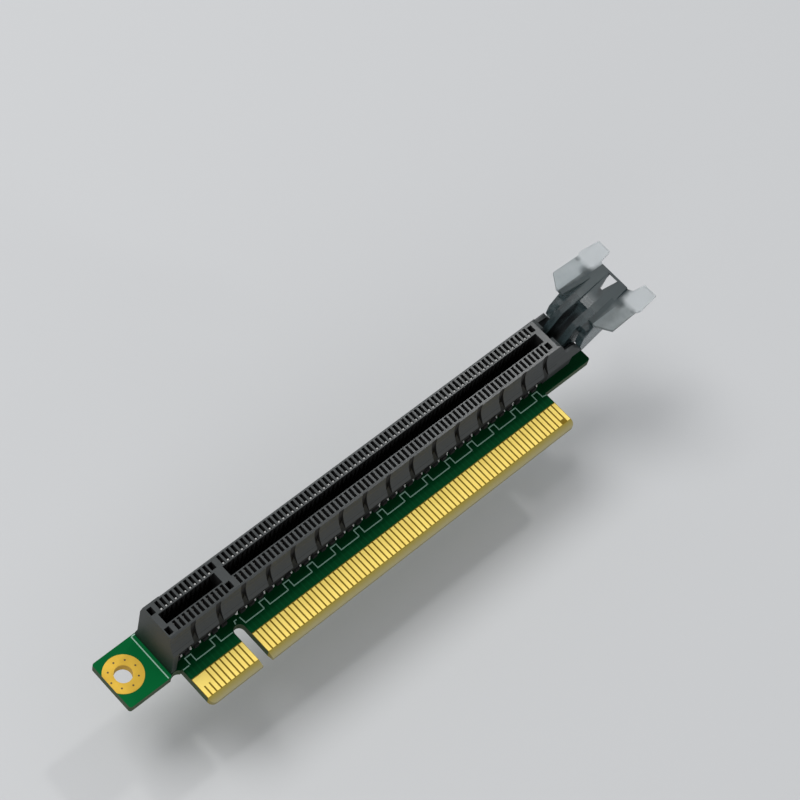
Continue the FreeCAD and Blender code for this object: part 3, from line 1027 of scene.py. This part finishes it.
def prism(name: str, datum: Datum, x: float, length: float, outline: Sequence[Point2]) -> Piece:
    """Prism along the slot.

    Args:
        name: the piece's name.
        datum: the card's datum.
        x: its middle along the slot.
        length: its length along the slot.
        outline: (y, z) points round its end.

    Returns:
        The prism as a mesh object.
    """
    size = len(outline)
    vertices = [datum.at(end, y, z) for end in (x - length / 2, x + length / 2) for y, z in outline]
    faces = [tuple(range(size)), tuple(range(size, 2 * size))]
    faces += [(i, (i + 1) % size, size + (i + 1) % size, size + i) for i in range(size)]
    return closed_piece(name, vertices, faces)


def dress(nodes: dict[str, Piece], start: str, material: Material) -> None:
    """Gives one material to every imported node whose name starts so.

    Args:
        nodes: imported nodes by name.
        start: start of their names.
        material: their material.
    """
    for name, node in nodes.items():
        if name.startswith(start):
            node.data.materials.clear()
            node.data.materials.append(material)


@dataclass
class RiserBoard:
    """Green board with its printed outline, small plated holes and solder."""

    datum: Datum
    patterns: Patterns
    thick: float = 1.6
    line_width: float = 0.2
    line_height: float = 0.02
    end_line_x: float = -3.08
    end_line_low: float = -5.15
    far_line_y: float = 4.28
    far_line_end: float = 90.5
    near_low: float = -5.5
    near_high: float = -4.12
    step_start: float = 1.2
    step_end: float = 2.45
    steps: int = 16
    steps_by_key: int = 3
    first_dash: tuple[float, float] = (-0.35, 0.95)
    before_key: float = 10.35
    by_key: tuple[Point2, ...] = ((11.6, -4.72), (11.77, -4.15), (12.3, -4.14))
    after_key: tuple[float, float] = (12.95, 13.1)
    last_step: tuple[float, float] = (1.25, 1.35)
    last_point: Point2 = (83.4, -5.68)
    hole_x: float = -8.27
    hole_r: float = 1.6
    sleeve_wall: float = 0.03
    sleeve_past: float = 0.04
    via_ring_r: float = 2.5
    via_r: float = 0.17
    via_low: float = 0.045
    via_high: float = 0.06
    via_count: int = 8
    row_inner: float = 1.25
    row_outer: float = 3.25
    cone: tuple[Point2, ...] = ((0, 0.62), (0.2, 0.6), (0.26, 0.3), (0.42, 0.08), (0.52, 0), (0, 0))

    def print_outline(self, ink: Material) -> Piece:
        """Prints the connector's outline round the slot, stepped past each group of tails.

        Args:
            ink: marking ink.

        Returns:
            The printed lines as one piece.
        """
        low, high = self.near_low, self.near_high
        start, end = self.step_start, self.step_end
        last = start + (self.steps - 1) * PANEL_PITCH
        past_key = self.steps_by_key * PANEL_PITCH
        step = [(start, low), (start, high), (end, high), (end, low), (start + PANEL_PITCH, low)]
        paths = {
            "first": step,
            "rest": [(x + past_key, y) for x, y in step],
            "0": [(self.end_line_x, self.far_line_y), (self.end_line_x, self.end_line_low)],
            "1": [(self.end_line_x + 0.03, self.far_line_y), (self.far_line_end, self.far_line_y)],
            "2": [(x, low) for x in self.first_dash],
            "3": [(x + PANEL_PITCH, y) for x, y in step[:4]] + [(self.before_key, low)],
            "4": self.by_key,
            "5": [*zip(self.after_key, (high, low)), (start + past_key, low)],
            "6": [(last, low), (last, high)]
            + [(last + run, y) for run, y in zip(self.last_step, (high, low))]
            + [self.last_point],
        }
        counts = {"first": 1, "rest": self.steps - self.steps_by_key - 1}
        lines = []
        for name, path in paths.items():
            line = ribbon(f"outline_{name}", self.datum, path, self.line_width, self.line_height)
            if name in counts:
                self.patterns.row(line, counts[name], ink, self.datum.origin, PANEL_PITCH)
            else:
                line.data.materials.append(ink)
            lines.append(line)
        return joined("printed_outline", lines)

    def small_holes(self, bore: Material) -> Piece:
        """Small plated holes round the screw hole, on both faces, drawn as thin dark discs of painted
        shade.

        Args:
            bore: material of the holes.

        Returns:
            The ring of holes as one piece.
        """
        above = (self.via_low, self.via_high)
        below = (-self.thick - self.via_high, -self.thick - self.via_low)
        rings = []
        for name, (low, high) in (("holes_top", above), ("holes_back", below)):
            profile = [(0, low), (self.via_r, low), (self.via_r, high), (0, high)]
            hole = lathe(name, self.datum, (self.hole_x + self.via_ring_r, 0), profile, 12)
            rings.append(repeated(hole, self.patterns.round, {
                "Count": self.via_count,
                "Centre": self.datum.at(self.hole_x, 0, 0),
                "Turn": 2 * math.pi / self.via_count,
                "Finish": bore,
            }))
        return joined("small_plated_holes", rings)

    def barrel(self, gold: Material) -> Piece:
        """Gold sleeve inside the screw hole.

        Args:
            gold: material of the sleeve.

        Returns:
            The sleeve.
        """
        low, high = -self.thick - self.sleeve_past, self.sleeve_past
        outer, inner = self.hole_r - 0.002, self.hole_r - self.sleeve_wall
        profile = [(outer, low), (outer, high), (inner, high), (inner, low), (outer, low)]
        sleeve = lathe("hole_sleeve", self.datum, (self.hole_x, 0), profile, 48)
        sleeve.data.materials.append(gold)
        return sleeve

    def solder(self, tin: Material) -> Piece:
        """Solder cones round the tails on the back of the board.

        Args:
            tin: material of the solder.

        Returns:
            All cones as one piece.
        """
        back = -self.thick
        profile = [(radius, back - drop) for radius, drop in self.cone]
        rows = []
        for side in SIDES:
            for first, last in ZONES:
                x = contact_x(first)
                own, other = self.row_outer, self.row_inner
                if first % 2:
                    own, other = other, own
                cone = lathe(f"solder_{side}_{first}", self.datum, (x, side * own), profile, 10)
                pivot = self.datum.at(x, side * own, back)
                aside, seed = side * (other - own), 7 + first + side
                rows.append(self.patterns.row(cone, last - first + 1, tin, pivot, PITCH, aside, 0.08, seed))
        return joined("tail_solder", rows)


@dataclass
class SlotConnector:
    """Moulded slot with its contacts."""

    datum: Datum
    patterns: Patterns
    top: float = 11.25
    slot_half: float = 1.08
    rim_thick: float = 0.17
    rim_depth: float = 0.55
    rim_drop: float = 0.04
    rim_length: float = 0.64
    foot_length: float = 0.95
    foot_outer: float = 3.85
    foot_inner: float = 2.7
    foot_low: float = 0.03
    foot_top: float = 1.08
    foot_runs: tuple[tuple[int, int], ...] = ((1, 6), (13, 35))
    collar_runs: tuple[tuple[int, int], ...] = ((2, 5), (12, 36))
    collar_y: float = 3.25
    collar: tuple[Point2, ...] = ((0, 0), (0.32, 0), (0.27, 0.1), (0.22, 0.3), (0.22, 1.03), (0, 1.05))
    tip_width: float = 0.3
    tip_y: float = 1.27
    tip_tops: tuple[float, float] = (10.5, 11.06)
    tip: tuple[Point2, ...] = ((0.0, 0.5), (0.08, 0.06), (0.2, 0.0), (0.36, 0.06), (0.34, 0.5))

    def lead_in_bars(self, plastic: Material) -> Piece:
        """Thin bars that close each contact cavity towards the slot.

        Args:
            plastic: the connector's material.

        Returns:
            All bars as one piece.
        """
        low, high = self.top - self.rim_depth, self.top - self.rim_drop
        rows = []
        for side in SIDES:
            inner, outer = side * self.slot_half, side * (self.slot_half + self.rim_thick)
            outline = [(inner, low), (outer, low), (outer, high), (inner, high)]
            for first, last in ZONES:
                bar = prism(f"bar_{side}_{first}", self.datum, contact_x(first), self.rim_length, outline)
                rows.append(self.patterns.row(bar, last - first + 1, plastic, self.datum.origin))
        return joined("lead_in_bars", rows)

    def pins(self, tin: Material) -> Piece:
        """Bright collars of the outer tails in the gap under the connector.

        Args:
            tin: material of the tails.

        Returns:
            All collars as one piece.
        """
        rows = []
        for side in SIDES:
            for first, count in self.collar_runs:
                x, y = contact_x(first), side * self.collar_y
                collar = lathe(f"collar_{side}_{first}", self.datum, (x, y), self.collar, 10)
                pivot = self.datum.at(x, y, 0)
                row = self.patterns.row(collar, count, tin, pivot, 2 * PITCH, play=0.06, seed=3 + first)
                rows.append(row)
        return joined("tail_collars", rows)

    def feet(self, plastic: Material) -> Piece:
        """Comb of feet between the tails, under the connector's walls.

        Args:
            plastic: material of the feet; main gives them a darker copy of the connector's plastic, as
                painted shade under the walls.

        Returns:
            Both combs as one piece.
        """
        low, high = self.foot_low, self.foot_top
        rows = []
        for side in SIDES:
            outer, inner = side * self.foot_outer, side * self.foot_inner
            outline = [(outer, low), (inner, low), (inner, high), (outer, high)]
            for first, count in self.foot_runs:
                x = contact_x(first)
                foot = prism(f"foot_{side}_{first}", self.datum, x, self.foot_length, outline)
                rows.append(self.patterns.row(foot, count, plastic, self.datum.origin, 2 * PITCH))
        return joined("connector_feet", rows)

    def tips(self, tin: Material) -> Piece:
        """Rounded upper ends of the contacts, seen at the inner end of each cavity.

        Args:
            tin: material of the contacts.

        Returns:
            All ends as one piece.
        """
        rows = []
        for side, top in zip(SIDES, self.tip_tops):
            outline = [(side * (self.tip_y + out), top - drop) for out, drop in self.tip]
            for first, last in ZONES:
                x = contact_x(first)
                tip = prism(f"tip_{side}_{first}", self.datum, x, self.tip_width, outline)
                pivot = self.datum.at(x, side * self.tip_y, top)
                row = self.patterns.row(tip, last - first + 1, tin, pivot, play=0.04, seed=11 + first)
                rows.append(row)
        return joined("contact_tips", rows)


@dataclass(frozen=True)
class Lamp:
    """Round soft lamp that points at the card."""

    name: str
    place: Point3
    size: float
    power: float

    def hang(self) -> None:
        """Hangs the lamp in the studio."""
        data = bpy.data.lights.new(self.name, "AREA")
        data.shape = "DISK"
        data.size = self.size
        data.energy = self.power
        lamp = bpy.data.objects.new(self.name, data)
        bpy.context.scene.collection.objects.link(lamp)
        lamp.location = self.place
        lamp.rotation_mode = "QUATERNION"
        lamp.rotation_quaternion = (-Vector(self.place)).to_track_quat("-Z", "Y")


@dataclass
class Studio:
    """Pale floor, soft lamps and the camera at the photograph's angle."""

    lens: float = 115.51
    sensor: float = 36.0
    clip_start: float = 0.01
    camera_place: Point3 = (-132.987, -116.109, 380.849)
    camera_right: Point3 = (0.72431, -0.67325, 0.14868)
    camera_down: Point3 = (-0.53300, -0.68355, -0.49867)
    camera_ahead: Point3 = (0.43736, 0.28194, -0.85394)
    floor_colour: Colour = (0.53, 0.535, 0.54)
    floor_half: float = 2.5
    floor_drop: float = 16.0
    lamps: tuple[Lamp, ...] = (
        Lamp("key", (-0.24, 0.42, 0.86), 0.5, 5.3),
        Lamp("fill", (-0.7, -0.5, 0.45), 0.5, 0.8),
        Lamp("gloss", (0.52, 0.2, 0.86), 0.08, 1.15),
        Lamp("edge", (0.56, -0.86, 0.26), 0.1, 1.0),
    )
    world_colour: Colour = (0.95, 0.97, 1.0)
    world_strength: float = 0.56

    def floor(self) -> None:
        """Lays the floor, over which the card hangs as in a product shot."""
        half, height = self.floor_half, -self.floor_drop * MM
        spots = ((-half, -half), (half, -half), (half, half), (-half, half))
        floor = mesh_piece("studio_floor", [Vector((x, y, height)) for x, y in spots], [(0, 1, 2, 3)])
        n = Nodes("floor_paint")
        n.set(Base_Color=(*self.floor_colour, 1.0), Roughness=0.7)
        floor.data.materials.append(n.material)

    def sky(self) -> None:
        """Sets the even light of the world."""
        world = bpy.data.worlds.new("studio_world")
        world.use_nodes = True
        sky = world.node_tree.nodes["Background"]
        sky.inputs["Color"].default_value = (*self.world_colour, 1.0)
        sky.inputs["Strength"].default_value = self.world_strength
        bpy.context.scene.world = world

    def camera(self, datum: Datum) -> None:
        """Sets the camera at the photograph's place.

        Args:
            datum: the card's datum.
        """
        data = bpy.data.cameras.new("photo_camera")
        data.lens = self.lens
        data.sensor_width = self.sensor
        data.clip_start = self.clip_start
        camera = bpy.data.objects.new("photo_camera", data)
        bpy.context.scene.collection.objects.link(camera)
        axes = (Vector(self.camera_right), -Vector(self.camera_down), -Vector(self.camera_ahead))
        camera.rotation_mode = "QUATERNION"
        camera.rotation_quaternion = Matrix(axes).transposed().to_quaternion()
        camera.location = datum.at(*self.camera_place)
        bpy.context.scene.camera = camera

    def build(self, datum: Datum) -> None:
        """Builds the whole studio.

        Args:
            datum: the card's datum.
        """
        self.floor()
        for lamp in self.lamps:
            lamp.hang()
        self.sky()
        self.camera(datum)
        bpy.context.scene.view_settings.view_transform = "Standard"


def ride(piece: Piece, body: Body) -> None:
    """Lets a piece ride on its body and reports it.

    Args:
        piece: the finished piece.
        body: body that carries it.
    """
    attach(piece, body.value)
    LOG.info("%s rides on %s with %d faces", piece.name, body.value, len(piece.data.polygons))


def main() -> None:
    """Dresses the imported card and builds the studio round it."""
    logging.basicConfig(level=logging.INFO, format="%(name)s: %(message)s")
    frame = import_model()
    nodes = frame["nodes"]
    datum = Datum.from_frame()
    patterns = Patterns()
    gold = GoldPlate().build()
    land_gold = GoldPlate("hole_gold", (0.74, 0.485, 0.058), (0.5, 0.305, 0.03), roughness=0.55).build()
    tin = TinPlate().build(datum)
    tip_tin = TinPlate("tip_tin", (0.62, 0.62, 0.6), roughness=0.34, metallic=0.3).build(datum)
    # tail tin near-white and barely metallic: the tails' bright tin with a painted highlight
    pin_tin = TinPlate("pin_tin", (0.96, 0.96, 0.93), roughness=0.36, metallic=0.2).build(datum)
    solder = TinPlate("solder_metal", (0.7, 0.7, 0.69), roughness=0.22).build(datum)
    plastic = MouldedPlastic().build(datum)
    # darker copy of the connector's plastic for the feet: painted shade under the connector's walls
    shaded = MouldedPlastic("shaded_plastic", (0.008, 0.008, 0.008), (0.014, 0.014, 0.014), roughness=0.6)
    shaded_plastic = shaded.build(datum)
    dress(nodes, "circuit_board", SolderMask().build(datum))
    dress(nodes, "fingers_", gold)
    dress(nodes, "mounting_hole_plating", land_gold)
    dress(nodes, "connector_housing", plastic)
    dress(nodes, "contacts_", tin)
    dress(nodes, "card_latch", SmokyPlastic().build(datum))
    board = RiserBoard(datum, patterns)
    ride(board.print_outline(MarkingInk().build()), Body.CARD)
    ride(board.small_holes(DarkBore().build()), Body.CARD)
    ride(board.barrel(land_gold), Body.CARD)
    ride(board.solder(solder), Body.CARD)
    connector = SlotConnector(datum, patterns)
    ride(connector.lead_in_bars(plastic), Body.CARD)
    ride(connector.feet(shaded_plastic), Body.CARD)
    ride(connector.pins(pin_tin), Body.CARD)
    ride(connector.tips(tip_tin), Body.CARD)
    Studio().build(datum)


if __name__ == "__main__":
    main()
